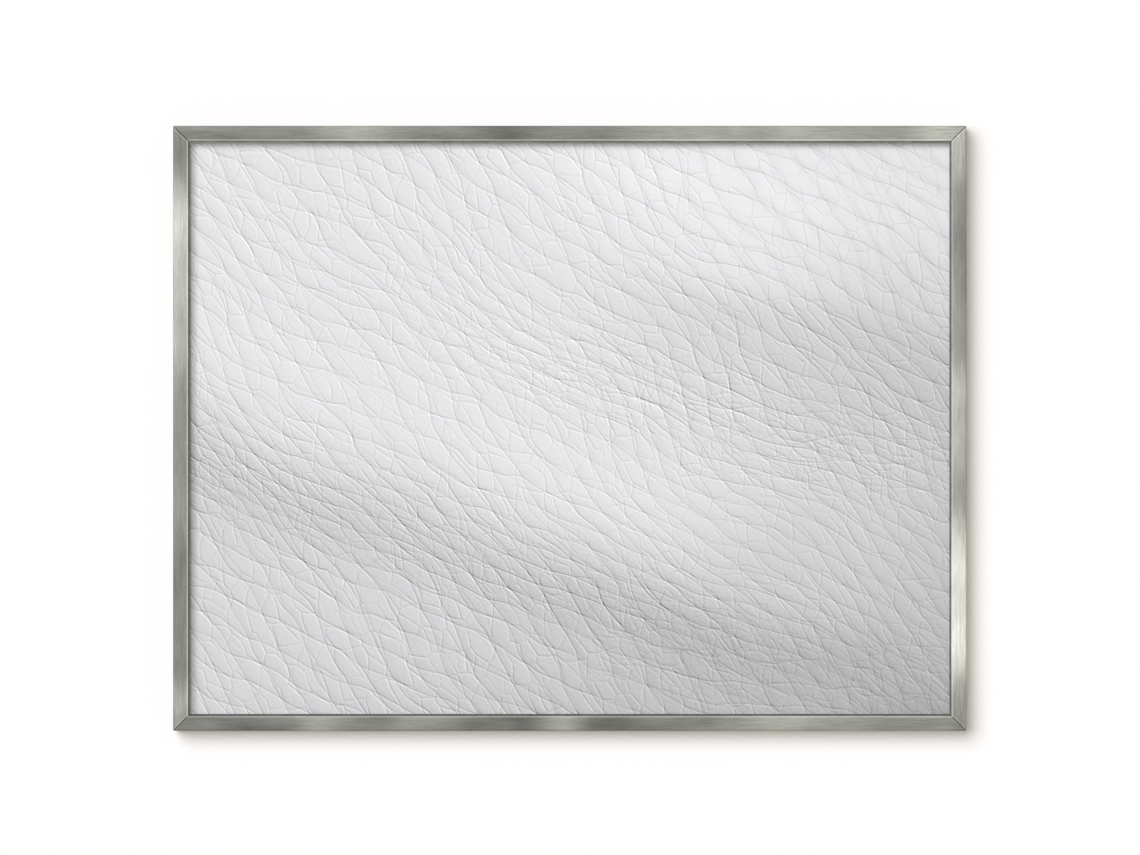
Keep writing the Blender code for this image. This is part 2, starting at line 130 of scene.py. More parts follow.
class Finish:
    """The nodes of one coating or stuff, worked out from places on the board in millimetres."""

    def __init__(self, name, holder=None):
        self.holder = holder or bpy.data.materials.new(name)
        self.holder.use_nodes = True
        self.tree = self.holder.node_tree
        self.tree.nodes.clear()

    def add(self, kind, settings=None, sockets=None):
        """A node: its settings are made first, then its sockets are set or linked by name."""
        node = self.tree.nodes.new("ShaderNode" + kind)
        for setting, choice in (settings or {}).items():
            setattr(node, setting, choice)
        for name, value in (sockets or {}).items():
            place = next(socket for socket in node.inputs if socket.name == name and socket.enabled)
            if isinstance(value, Amount):
                value = value.socket
            if isinstance(value, bpy.types.NodeSocket):
                self.tree.links.new(value, place)
            else:
                place.default_value = value
        return node

    def result(self, kind, output, settings=None, sockets=None):
        """The named output of a new node, to link."""
        node = self.add(kind, settings, sockets)
        return next(socket for socket in node.outputs if socket.name == output and socket.enabled)

    def amount(self, kind, output, settings=None, sockets=None):
        """The named output of a new node, to reckon with."""
        return Amount(self.tree, self.result(kind, output, settings, sockets))

    def place(self):
        """Across, depth and height in millimetres from the point between the two wall hooks."""
        spot = self.result("VectorMath", "Vector", {"operation": "SCALE"},
                           {"Vector": self.result("TexCoord", "Object"), "Scale": 1 / mm})
        apart = self.add("SeparateXYZ", sockets={"Vector": spot})
        return [Amount(self.tree, apart.outputs[axis]) for axis in "XYZ"]

    def point(self, x, y, z=0.0):
        return self.result("CombineXYZ", "Vector", sockets={"X": x, "Y": y, "Z": z})

    def noise(self, spot, size, detail=0.0, rough=0.5, flat=False):
        """Smooth noise round zero, its patches about as large as size."""
        return self.amount("TexNoise", "Fac", {"noise_dimensions": "2D" if flat else "3D"},
                           {"Vector": spot, "Scale": 1 / size, "Detail": detail, "Roughness": rough}) - 0.5

    def grain(self, place, lengths, detail=0.0, rough=0.5):
        """Noise drawn out into streaks, as long along each of the place's three axes as lengths says."""
        spot = self.point(*(amount / length for amount, length in zip(place, lengths)))
        return self.noise(spot, 1.0, detail, rough)

    def ramp(self, amount, low, high, to_low=0.0, to_high=1.0):
        """A soft step from to_low, where the amount is low, to to_high."""
        return self.amount("MapRange", "Result", {"interpolation_type": "SMOOTHSTEP"},
                           {"Value": amount, "From Min": low, "From Max": high,
                            "To Min": to_low, "To Max": to_high})

    def bell(self, amount, middle, spread):
        """1 at the middle of a patch, fading out on both sides."""
        off = (amount - middle) / spread
        return (off * off * -1.0).reckon("EXPONENT")

    def tint(self, colour, level):
        """The colour, made as light as the level says."""
        return self.result("VectorMath", "Vector", {"operation": "SCALE"},
                           {"Vector": colour, "Scale": level})

    def blend(self, share, one, other):
        """The one colour where the share is 0 and the other where it is 1."""
        return self.result("Mix", "Result", {"data_type": "RGBA"},
                           {"Factor": share, "A": one, "B": other})

    def relief(self, height, depth):
        """The normal of a surface whose height goes from 0 to 1 over the depth."""
        return self.result("Bump", "Normal", sockets={"Height": height, "Distance": depth, "Strength": 1.0})

    def coat(self, **sockets):
        """The finished surface. A socket's name is written with underscores for its spaces."""
        named = {name.replace("_", " "): value for name, value in sockets.items()}
        shader = self.result("BsdfPrincipled", "BSDF", sockets=named)
        self.add("OutputMaterial", sockets={"Surface": shader})
        return self.holder

    def either(self, share, one, other):
        """The one shader where the share is 0 and the other where it is 1."""
        mixed = self.add("MixShader", sockets={"Fac": share})
        self.tree.links.new(one, mixed.inputs[1])
        self.tree.links.new(other, mixed.inputs[2])
        return mixed.outputs[0]


merge_reach = 0.005 * mm
flat_angle, soft_angle = math.radians(1.0), math.radians(35.0)
arris_segments = 3


def fair_copy(node, name, arris):
    """A CAD solid's skin, merged, its arrises rounded, that stands for the solid."""
    bpy.ops.object.select_all(action="DESELECT")
    piece = bpy.data.objects.new(name, frame["nodes"][node].data.copy())
    bpy.context.scene.collection.objects.link(piece)
    bpy.context.view_layer.objects.active = piece
    piece.select_set(True)
    bpy.ops.mesh.customdata_custom_splitnormals_clear()
    bpy.ops.object.mode_set(mode="EDIT")
    bpy.ops.mesh.select_all(action="SELECT")
    bpy.ops.mesh.remove_doubles(threshold=merge_reach)
    bpy.ops.mesh.dissolve_limited(angle_limit=flat_angle)
    bpy.ops.object.mode_set(mode="OBJECT")
    bpy.ops.object.modifier_add(type="BEVEL")
    rounding = piece.modifiers[-1]
    rounding.width = arris
    rounding.segments = arris_segments
    rounding.limit_method = "ANGLE"
    rounding.angle_limit = soft_angle
    bpy.ops.object.modifier_apply(modifier=rounding.name)
    bpy.ops.object.shade_smooth_by_angle(angle=soft_angle)
    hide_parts(node)
    return piece


def dress(piece, finish, body):
    """Gives a piece its finish and the body that it moves with."""
    piece.data.materials.clear()
    piece.data.materials.append(finish)
    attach(piece, body)


board_left, board_right = board_low.x / mm, board_high.x / mm
board_bottom, board_top = board_low.z / mm, board_high.z / mm
rail_arris = 0.25 * mm
chamfer_starts, chamfer_full = 13.9, 14.15
chamfer_foot, chamfer_fade = -23.8, 0.4
soft_edge_starts, soft_edge_ends = 0.1, 1.7
seam_edge, seam_heart, seam_darkness = 1.05, 0.35, 0.62
burr_line, burr_width = 1.7, 0.6
burr_painted_glint = {"top": 0.02, "bottom": 0.02, "left": 0.14, "right": 0.14}
rubbed_end = 90.0
anodised_grey, shaded_edge_colour, edge_painted_shade = (1.0, 1.0, 0.89), (0.985, 1.0, 0.885), 0.72
cut_metal = (1.0, 1.0, 0.95)
cloud_and_sheen_lengths, stroke_lengths = (55.0, 20.0, 20.0), (24.0, 1.5, 1.5)
hair_lengths, score_lengths = (9.0, 0.22, 0.22), (17.0, 1.1, 1.1)


def brushed_rail(side, level, clouds):
    """Anodised brushed aluminium, painted to the rail's level of light, with its clouds of painted
    reflection given as (middle, spread, strength) along the rail.
    """
    finish = Finish("brushed_rail_" + side)
    x, depth, z = finish.place()
    lies_flat = side in ("top", "bottom")
    along, across = (x, z) if lies_flat else (z, x)
    rail_start, rail_end = (board_left, board_right) if lies_flat else (board_bottom, board_top)
    inward = {"top": board_top - z, "bottom": z - board_bottom,
              "left": x - board_left, "right": board_right - x}[side]
    from_middle = (along - (rail_start + rail_end) / 2).reckon("ABSOLUTE")
    from_end = (rail_end - rail_start) / 2 - from_middle
    run = (along, across, depth)
    # Painted light: the level is lighter or darker for the rail's side, and the noise clouds are partly
    # uneven anodising, partly painted reflection.
    shade = finish.grain(run, cloud_and_sheen_lengths, detail=2.0) * 0.16 + level
    # Painted reflections: the listed clouds lighten or darken the rail where the room would show in it.
    for middle, spread, strength in clouds:
        shade = shade + finish.bell(along, middle, spread) * strength
    strokes = finish.grain(run, stroke_lengths, detail=3.0, rough=0.65)
    hairs = finish.grain(run, hair_lengths, detail=2.0, rough=0.6)
    scores = finish.ramp(finish.grain(run, score_lengths, detail=2.0), 0.08, 0.28)
    rubbed = finish.ramp(from_end, rubbed_end, 0.0)
    shade = shade * (strokes * (rubbed * 0.35 + 0.75) + hairs * 0.2 + 1.0)
    shade = shade * (1.0 - scores * (rubbed * 0.22 + 0.12))
    from_mitre = from_end - inward
    seam = finish.ramp(from_mitre, seam_edge, seam_heart) * seam_darkness
    # Painted glint: a bright line beside each mitre, a burr lit much stronger on the left and right rails.
    burr = finish.bell(from_mitre, burr_line, burr_width) * burr_painted_glint[side]
    shade = shade * (1.0 - seam) + burr
    chamfer = (finish.ramp(inward, chamfer_starts, chamfer_full)
               * finish.ramp(depth, chamfer_foot + chamfer_fade, chamfer_foot))
    # Painted shade: the face is darkened towards its outer edge, as a rounded arris would shade it.
    face = finish.ramp(inward, soft_edge_starts, soft_edge_ends)
    painted_edge_shade = finish.tint(shaded_edge_colour, shade * edge_painted_shade)
    grey = finish.blend(face, painted_edge_shade, finish.tint(anodised_grey, shade))
    bright = finish.tint(cut_metal, strokes * 0.10 + shade * 0.90 + 0.24)
    return finish.coat(
        Base_Color=finish.blend(chamfer, grey, bright), Metallic=1.0,
        Roughness=strokes * 0.18 + 0.36 - chamfer * 0.12,
        Normal=finish.relief(strokes * 0.7 + hairs * 0.5, depth=0.02 * mm))


# Each rail's painted level of light and its painted reflections, as (middle, spread, strength).
rail_painted_light = {
    "top": (0.225, [
        (-228.0, 52.0, 0.10), (-62.0, 34.0, -0.08), (125.0, 70.0, 0.15), (250.0, 60.0, 0.18),
        (322.0, 30.0, 0.05), (390.0, 34.0, 0.26)]),
    "bottom": (0.155, [
        (-350.0, 22.0, -0.03), (-262.0, 26.0, 0.12), (-150.0, 38.0, 0.08), (-50.0, 15.0, -0.04),
        (-8.0, 20.0, 0.17), (99.0, 30.0, 0.04), (210.0, 60.0, 0.20), (290.0, 40.0, 0.10),
        (370.0, 60.0, 0.12)]),
    "left": (0.29, [
        (50.0, 30.0, -0.05), (-22.0, 30.0, 0.17), (-85.0, 78.0, 0.18), (-157.0, 22.0, 0.05),
        (-240.0, 36.0, -0.02), (-305.0, 34.0, 0.03), (-395.0, 60.0, -0.06), (-490.0, 18.0, -0.05),
        (-526.0, 17.0, 0.12)]),
    "right": (0.27, [
        (74.0, 22.0, 0.10), (30.0, 30.0, 0.04), (-40.0, 60.0, -0.07), (-200.0, 24.0, 0.14),
        (-255.0, 36.0, 0.10), (-390.0, 44.0, 0.43), (-466.0, 38.0, 0.48)]),
}
for side, (level, clouds) in rail_painted_light.items():
    rail = fair_copy("frame_rail_" + side, "rail_" + side, rail_arris)
    dress(rail, brushed_rail(side, level, clouds), "board")


# Glazing seals: thin strips of dark grey rubber under the rails' inner edge, which the glass is pressed
# against. Only a line of each shows, with a little dust on it, and each side is painted its own grey for its
# light and shade.
seal_grey = (1.0, 1.02, 0.93)
# Painted light and shade: lighter on the top and left seals, darker on the right and bottom.
seal_painted_tones = {"top": 0.24, "bottom": 0.085, "left": 0.17, "right": 0.11}


def seal_rubber(side, tone):
    finish = Finish("seal_rubber_" + side)
    spot = finish.point(*finish.place())
    dust = finish.ramp(finish.noise(spot, size=14.0, detail=3.0, rough=0.6), -0.15, 0.25)
    pores = finish.noise(spot, size=0.35, detail=2.0)
    return finish.coat(
        Base_Color=finish.tint(seal_grey, dust * tone * 0.6 + tone),
        Roughness=pores * 0.2 + 0.62, Normal=finish.relief(pores, depth=0.02 * mm))


for side, tone in seal_painted_tones.items():
    frame["nodes"]["glazing_seal_" + side].data.materials[0] = seal_rubber(side, tone)


# Glass pane: toughened float glass with a ground edge, clamped behind the seals. Light passes it both
# ways, and it carries a faint bloom of cleaning marks.
glass_tint = (0.990, 0.995, 0.990, 1.0)
glass_ior = 1.5


def clear_glass():
    finish = Finish("clear_glass")
    x, depth, z = finish.place()
    wipes = finish.noise(finish.point(x / 3.0 + z, depth, z / 3.0 - x), size=60.0, detail=4.0, rough=0.6)
    glass = finish.result("BsdfPrincipled", "BSDF", sockets={
        "Base Color": glass_tint, "Roughness": finish.ramp(wipes, 0.0, 0.3, 0.0, 0.02),
        "IOR": glass_ior, "Transmission Weight": 1.0})
    passing = finish.result("BsdfTransparent", "BSDF")
    let_by = finish.amount("LightPath", "Is Shadow Ray").reckon(
        "MAXIMUM", finish.amount("LightPath", "Is Diffuse Ray"))
    finish.add("OutputMaterial", sockets={"Surface": finish.either(let_by, glass, passing)})
    return finish.holder


frame["nodes"]["glass_pane"].data.materials[0] = clear_glass()


# Leather print: a film behind the glass, printed with white leather. Long creases in two crossing
# directions cut it into lozenges, they crowd where the hide was folded, and each is drawn as a dark line
# with a bright one below and to its left, as if lit from the upper right.
middle_bow, hem_bow = 0.0004, 0.0006


def hide_folds(finish, x, z):
    """How far a place is from the hide's low and middle folds, in millimetres, and how deep it lies in
    each of the four folds, from 0 to 1."""
    bend = finish.noise(finish.point(x, z), size=200.0, flat=True)
    low_line = z + x * 0.35 + bend * 40.0
    right_line = z + x * 0.20 + bend * 30.0
    middle_line = z + x * 0.42 - x * x * middle_bow + bend * 30.0
    hem_line = z + x * 0.40 - x * x * hem_bow - bend * 20.0
    return {
        "low_line": low_line,
        "middle_line": middle_line,
        "left": finish.bell(low_line, -160.0, 58.0) * finish.ramp(x, 80.0, 300.0, 1.0, 0.45),
        "right": (finish.ramp(right_line, 210.0, 150.0) * finish.ramp(right_line, -90.0, 130.0)
                  * finish.ramp(x, -60.0, 240.0)),
        "middle": finish.bell(middle_line, 64.0, 50.0) * finish.ramp(x, -240.0, 20.0),
        "hem": finish.bell(hem_line, -200.0, 60.0) * finish.ramp(x, -60.0, 140.0),
    }


def faint_part(finish, x, z):
    """The upper right of the hide, where the creases are shallow."""
    return finish.ramp(x, 0.0, 260.0) * finish.ramp(z, 90.0, 240.0)


def creases(finish, x, z, slope, spacing, seed, sway, waver, pull=0.0):
    """Distance to the nearest of a family of long creases, which sway together and waver one by one."""
    turn = math.radians(slope)
    shared = finish.noise(finish.point(x + 40.0, z - 70.0), size=190.0, flat=True) * sway
    own = finish.noise(finish.point(x + seed, z - seed * 0.7), size=62.0, detail=2.0, rough=0.35, flat=True)
    across = z * math.cos(turn) - x * math.sin(turn) + shared + own * waver + pull
    return (across / spacing).reckon("PINGPONG", 0.5) * spacing


def cells(finish, x, z, slope, stretch, size, seed):
    """Distance to the rim of small cells drawn out along a slope."""
    turn = math.radians(slope)
    u = (x * math.cos(turn) + z * math.sin(turn)) / stretch + seed
    v = z * math.cos(turn) - x * math.sin(turn) - seed
    return finish.amount("TexVoronoi", "Distance",
                         {"voronoi_dimensions": "2D", "feature": "DISTANCE_TO_EDGE"},
                         {"Vector": finish.point(u, v), "Scale": 1 / size}) * size


def hide_height(finish, x, z):
    """The printed hide's height, in its creases' own depth."""

    def groove(distance, width):
        """1 in the middle of a crease, and 0 where it is over."""
        return finish.ramp(distance, 0.0, width, 1.0, 0.0)

    def broken(distance, width, depth, seed, patch, least):
        """A family's grooves, which fade in patches to the least that is left of them there."""
        fading = finish.noise(finish.point(x + seed, z + seed), patch, detail=1.0, flat=True)
        return groove(distance, width) * finish.ramp(fading, -0.18, 0.10, least, 1.0) * depth

    folds = hide_folds(finish, x, z)
    left, middle, hem = folds["left"], folds["middle"], folds["hem"]
    faint = faint_part(finish, x, z)
    crowd = left + folds["right"] * 0.5 + middle * 0.7
    deep = crowd * 0.35 + 0.85
    turned = finish.ramp(folds["low_line"], -250.0, -20.0) * 20.0
    pulled = (finish.ramp(folds["low_line"], -250.0, -70.0) * 45.0
              + finish.ramp(folds["middle_line"], 0.0, 130.0) * finish.ramp(x, -220.0, 60.0) * 45.0)
    steep = creases(finish, x, z, slope=-57.0, spacing=24.0, seed=310.0, sway=75.0, waver=20.0, pull=turned)
    flat = creases(finish, x, z, slope=-24.0, spacing=24.0, seed=2310.0, sway=40.0, waver=20.0, pull=pulled)
    stray = creases(finish, x, z, slope=-75.0, spacing=44.0, seed=3310.0, sway=60.0, waver=40.0)
    swept = creases(finish, x, z, slope=-18.0, spacing=22.0, seed=5310.0, sway=20.0, waver=18.0,
                    pull=x * x * -middle_bow)
    hemmed = creases(finish, x, z, slope=-21.0, spacing=21.0, seed=7310.0, sway=30.0, waver=20.0,
                     pull=x * x * -hem_bow)
    drift = finish.noise(finish.point(x - 500.0, z + 99.0), size=25.0, detail=1.0, flat=True) * 10.0
    gathered = cells(finish, x + drift, z - drift, slope=-60.0, stretch=1.5, size=17.0, seed=4310.0)
    crowded = cells(finish, x + drift, z - drift, slope=-36.0, stretch=1.7, size=14.0, seed=6310.0)
    swing = finish.noise(finish.point(x, z + 99.0), size=33.0, flat=True) * 14.0
    small = cells(finish, x + swing, z - swing, slope=-62.0, stretch=1.6, size=17.0, seed=777.0)
    fine = cells(finish, x - swing, z + swing, slope=-35.0, stretch=1.6, size=6.5, seed=1234.0)
    long_ones = (
        broken(steep, width=1.7, depth=1.3, seed=50.0, patch=62.0, least=0.5)
        * (deep - middle * 0.5 - faint * 0.5 - hem * 0.45)
        + broken(flat, width=1.7, depth=1.3, seed=250.0, patch=62.0, least=0.5)
        * (deep + faint * 0.2 - hem * 0.5)
        + broken(stray, width=1.6, depth=0.4, seed=350.0, patch=45.0, least=0.0) * (1.0 - left * 0.6)
        + broken(swept, width=1.6, depth=1.2, seed=650.0, patch=60.0, least=0.3) * middle
        + broken(hemmed, width=1.6, depth=1.3, seed=850.0, patch=60.0, least=0.4) * hem)
    short_ones = (
        broken(gathered, width=1.4, depth=1.0, seed=550.0, patch=30.0, least=0.3) * left
        + broken(crowded, width=1.5, depth=1.2, seed=750.0, patch=30.0, least=0.3) * (middle + hem * 0.8)
        + broken(small, width=1.4, depth=1.1, seed=450.0, patch=33.0, least=0.4)
        + groove(fine, width=1.0) * (crowd * 0.22 + 0.16))
    cushions = (groove(steep, width=9.0) * 0.63 + groove(flat, width=9.0) * 0.65
                + groove(swept, width=5.0) * middle * 0.3)
    return (long_ones + short_ones + cushions) * -1.0


light_across, light_up = 0.42, 0.357
# Soft patches of lighter and darker shading, partly the print and partly painted light and shade, as
# (across, up, width, height, strength).
broad_patches = [
    (195.0, -138.0, 75.0, 48.0, -0.060), (345.0, 145.0, 95.0, 45.0, -0.052),
    (365.0, -35.0, 75.0, 70.0, 0.042), (340.0, -275.0, 110.0, 32.0, 0.055),
    (50.0, 275.0, 120.0, 40.0, 0.038)]
film_top_edge, film_left_edge = 300.0, -397.0
cool_white, warm_white = (0.988, 0.990, 1.036, 1.0), (1.010, 0.996, 0.978, 1.0)


def leather_print():
    """The printed picture: the hide's folds of light and shade and its creases lit from one side. Its broad
    shading is partly those printed folds and partly painted light and shade, and a painted shadow of the
    rails lies along the film's top and left edges."""
    finish = Finish("leather_print")
    x, depth, z = finish.place()
    z = z - (board_bottom + board_top) / 2
    folds = hide_folds(finish, x, z)
    left, right, low_line = folds["left"], folds["right"], folds["low_line"]
    faint = faint_part(finish, x, z)
    ridge = finish.bell(z + x * 0.39, -44.0, 50.0) * finish.ramp(x, 100.0, 280.0, 1.0, 0.0)
    low_part = finish.ramp(low_line, -70.0, -140.0) * finish.ramp(x, 120.0, 300.0, 1.0, 0.2)
    low_corner = finish.ramp(z, -120.0, -190.0) * finish.ramp(x, -280.0, -160.0)
    strength = 0.23 + low_part * 0.05 + low_corner * 0.05 + right * 0.06 - ridge * 0.03 - faint * 0.10
    near_side = hide_height(finish, x - light_across, z - light_up)
    far_side = hide_height(finish, x + light_across, z + light_up)
    creased = ((near_side - far_side) + (near_side + far_side) * (faint * 0.16 + 0.07)) * strength

    # Broad shading: partly the hide's printed folds, partly painted light at the top and painted shade
    # towards the lower right and right side.
    bright_top = finish.bell(x, 190.0, 130.0) * finish.bell(z, 245.0, 70.0)
    below = finish.ramp(low_line, -80.0, -200.0)
    dim_corner = finish.ramp(x * 0.55 - z, 20.0, 560.0)
    dim_side = finish.ramp(x, 180.0, 400.0) * finish.ramp(z, 230.0, 100.0)
    dim_half = finish.ramp(z, 240.0, 100.0)
    shade = (0.789 + ridge * 0.02 + bright_top * 0.075 - below * 0.105 - left * 0.10 - right * 0.135
             - dim_corner * 0.25 - dim_side * 0.07 - dim_half * 0.012)
    for middle_x, middle_z, width, height, lighter in broad_patches:
        shade = shade + finish.bell(x, middle_x, width) * finish.bell(z, middle_z, height) * lighter
    # Painted shadow: the rails' shadow, drawn darker along the film's top and left edges.
    top_shadow = finish.bell(film_top_edge - z, 3.2, 3.4) * 0.35
    left_shadow = finish.bell(x - film_left_edge, 3.4, 3.3) * 0.23
    unshaded = (1.0 - top_shadow) * (1.0 - left_shadow)
    warm = (left + right) * 0.1 + finish.noise(finish.point(x, z), size=16.0, detail=2.0, flat=True)
    white = finish.blend(finish.ramp(warm, -0.3, 0.7), cool_white, warm_white)
    return finish.coat(
        Base_Color=finish.tint(white, shade * (creased + 1.0) * unshaded),
        Roughness=0.55, Specular_IOR_Level=0.3)


frame["nodes"]["leather_print_film"].data.materials[0] = leather_print()


# Steel sheet: galvanised, behind the film, where it gives the magnets their hold. Its zinc has set in
# flat crystals that each catch the light another way.
crystal_size = 11.0
zinc_white = (0.96, 0.99, 1.03)


def galvanised_steel():
    finish = Finish("galvanised_steel")
    spot = finish.point(*finish.place())
    crystal = finish.result("TexVoronoi", "Color", {"voronoi_dimensions": "3D"},
                            {"Vector": spot, "Scale": 1 / crystal_size})
    grey = finish.amount("SeparateColor", "Red", sockets={"Color": crystal})
    bloom = finish.noise(spot, size=3.0, detail=4.0, rough=0.6)
    return finish.coat(
        Base_Color=finish.tint(zinc_white, grey * 0.14 + bloom * 0.10 + 0.52),
        Metallic=1.0, Roughness=grey * 0.16 + 0.34, Normal=finish.relief(grey + bloom, depth=0.03 * mm))


frame["nodes"]["steel_sheet"].data.materials[0] = galvanised_steel()


# Backing board: 3 mm hardboard that carries the steel and film. Its rear face keeps the weave of the wire
# screen that it was pressed on, and its fibres show in lighter and darker flecks.
screen_pitch = 1.6
fibre_lengths = (1.0, 1.0, 0.35)
pressed_brown, fleck_brown = (0.215, 0.115, 0.052), (0.36, 0.22, 0.115, 1.0)


def hardboard():
    finish = Finish("hardboard")
    x, depth, z = finish.place()
    spot = finish.point(x, depth, z)
    weave = ((x / screen_pitch * math.tau).reckon("SINE") * (z / screen_pitch * math.tau).reckon("SINE"))
    fibres = finish.grain((x, depth, z), fibre_lengths, detail=3.0, rough=0.65)
    flecks = finish.ramp(finish.noise(spot, size=2.2, detail=4.0, rough=0.7), 0.05, 0.28)
    stains = finish.noise(spot, size=90.0, detail=2.0)
    plain = finish.tint(pressed_brown, stains * 0.30 + fibres * 0.55 + weave * 0.07 + 1.0)
    return finish.coat(
        Base_Color=finish.blend(flecks * 0.5, plain, fleck_brown),
        Roughness=fibres * 0.2 + 0.68, Normal=finish.relief(weave * 0.35 + fibres * 0.8, depth=0.12 * mm))


frame["nodes"]["backing_board"].data.materials[0] = hardboard()


# Spring clips: bowed strips of blued spring steel, pushed in between the backing board and the rails'
# rear flange, where they press the stack forward. Rolled, so their scratches run lengthwise.
clip_arris = 0.12 * mm
rolled_across, rolled_upward = (6.0, 1.0, 0.5), (0.5, 1.0, 6.0)
blued_dark, blued_pale = (0.20, 0.24, 0.30, 1.0), (0.36, 0.35, 0.33, 1.0)


def spring_steel():
    finish = Finish("spring_steel")
    place = finish.place()
    temper = finish.noise(finish.point(*place), size=24.0, detail=2.0)
    rolled = finish.grain(place, rolled_across, detail=3.0) + finish.grain(place, rolled_upward, detail=3.0)
    blue = finish.blend(finish.ramp(temper, -0.2, 0.25), blued_dark, blued_pale)
    return finish.coat(
        Base_Color=finish.tint(blue, rolled * 0.35 + 1.0), Metallic=1.0,
        Roughness=rolled * 0.15 + 0.32, Normal=finish.relief(rolled, depth=0.01 * mm))


spring_finish = spring_steel()
for node in sorted(frame["nodes"]):
    if node.startswith("spring_clip_"):
        clip = fair_copy(node, node.replace("spring_clip", "clip"), clip_arris)
        dress(clip, spring_finish, "board")


# Corner angles: two stamped steel angles in the channel at each corner, bright zinc plated. Slotted grub
# screws of blackened steel go through the threaded one and push the plain one away, which clamps them.
angle_arris, grub_arris = 0.15 * mm, 0.08 * mm
scuff_lengths = (4.0, 1.0, 0.4)
zinc_cool, zinc_warm = (0.44, 0.47, 0.52, 1.0), (0.54, 0.53, 0.48, 1.0)
oiled_black, worn_black = (0.055, 0.056, 0.060, 1.0), (0.26, 0.25, 0.24, 1.0)


def zinc_plate():
    finish = Finish("zinc_plate")
    place = finish.place()
    clouds = finish.noise(finish.point(*place), size=7.0, detail=3.0, rough=0.6)
    scuffs = finish.ramp(finish.grain(place, scuff_lengths, detail=4.0, rough=0.7), 0.12, 0.3)
    tone = finish.blend(finish.ramp(clouds, -0.2, 0.2), zinc_cool, zinc_warm)
    return finish.coat(
        Base_Color=finish.tint(tone, 1.0 - scuffs * 0.22), Metallic=1.0,
        Roughness=clouds * 0.2 + scuffs * 0.15 + 0.30,
        Normal=finish.relief(clouds + scuffs * 0.5, depth=0.02 * mm))


def blackened_steel():
    finish = Finish("blackened_steel")
    oil = finish.noise(finish.point(*finish.place()), size=1.4, detail=3.0, rough=0.6)
    worn = finish.ramp(oil, 0.08, 0.3)
    return finish.coat(
        Base_Color=finish.blend(worn * 0.5, oiled_black, worn_black),
        Metallic=1.0, Roughness=oil * 0.3 + 0.42, Normal=finish.relief(oil, depth=0.01 * mm))


zinc_finish = zinc_plate()
black_finish = blackened_steel()
for node in sorted(frame["nodes"]):
    if node.startswith("corner_angle_"):
        angle_piece = fair_copy(node, node.replace("corner_", ""), angle_arris)
        dress(angle_piece, zinc_finish, "board")
    if node.startswith("corner_screw_"):
        grub = fair_copy(node, node.replace("corner_screw", "grub"), grub_arris)
        dress(grub, black_finish, "board")


# Hangers: a nickelled strap folded double round the straight leg of a wire ring, and screwed through the
# channel's mouth to a zinc-plated nut plate behind it.
nickel_tone = (0.66, 0.62, 0.56)
scratch_lengths = (0.12, 1.0, 2.5)
passivated_cool, passivated_warm = (0.42, 0.44, 0.48, 1.0), (0.53, 0.51, 0.46, 1.0)


def nickel_plate():
    finish = Finish("nickel_plate")
    place = finish.place()
    breath = finish.noise(finish.point(*place), size=5.0, detail=3.0, rough=0.6)
    scratches = finish.ramp(finish.grain(place, scratch_lengths, detail=3.0, rough=0.7), 0.10, 0.30)
    return finish.coat(
        Base_Color=finish.tint(nickel_tone, breath * 0.16 + 0.92 - scratches * 0.12), Metallic=1.0,
        Roughness=breath * 0.14 + scratches * 0.14 + 0.20,
        Normal=finish.relief(scratches, depth=-0.006 * mm))


def plated_screw():
    finish = Finish("plated_screw")
    clouds = finish.noise(finish.point(*finish.place()), size=2.0, detail=3.0, rough=0.6)
    tone = finish.blend(finish.ramp(clouds, -0.2, 0.2), passivated_cool, passivated_warm)
    return finish.coat(Base_Color=tone, Metallic=1.0, Roughness=clouds * 0.2 + 0.30,
                       Normal=finish.relief(clouds, depth=0.01 * mm))


def start_ring(radius, corners, spot, turn):
    """A fresh ring of points in edit mode, from which a piece is drawn out. All its points are selected."""
    bpy.ops.object.select_all(action="DESELECT")
    bpy.ops.mesh.primitive_circle_add(vertices=corners, radius=radius, fill_type="NOTHING")
    piece = bpy.context.object
    piece.rotation_euler = turn
    piece.location = spot
    bpy.ops.object.transform_apply()
    bpy.ops.object.mode_set(mode="EDIT")
    bpy.ops.mesh.select_all(action="SELECT")
    return piece


def draw_out(across, depth, up):
    bpy.ops.mesh.extrude_region_move(TRANSFORM_OT_translate={"value": (across, depth, up)})


join_reach = 0.002 * mm


def close_piece(piece, name, smooth_angle):
    """Merges the piece's seams, turns its faces outward and leaves edit mode."""
    bpy.ops.mesh.select_all(action="SELECT")
    bpy.ops.mesh.remove_doubles(threshold=join_reach)
    bpy.ops.mesh.normals_make_consistent(inside=False)
    bpy.ops.object.mode_set(mode="OBJECT")
    bpy.ops.object.shade_smooth_by_angle(angle=math.radians(smooth_angle))
    piece.name = name
    return piece


def middle_of(node):
    """The middle of a CAD solid's box and its size."""
    spots = [vert.co for vert in frame["nodes"][node].data.vertices]
    low = Vector(min(spot[axis] for spot in spots) for axis in range(3))
    high = Vector(max(spot[axis] for spot in spots) for axis in range(3))
    return (low + high) / 2, high - low


def ring_pivot(side):
    return Vector(next(joint["pos_m"] for joint in frame["joints"] if joint["child"] == side + "_ring"))


wire_radius, bend_radius = 1.0 * mm, 1.4 * mm
leg_half, ring_height = 3.8 * mm, 12.5 * mm
ring_lean = math.radians(4.363)
wire_corners, bend_steps, arch_steps = 20, 8, 36
wire_smooth = 60.0


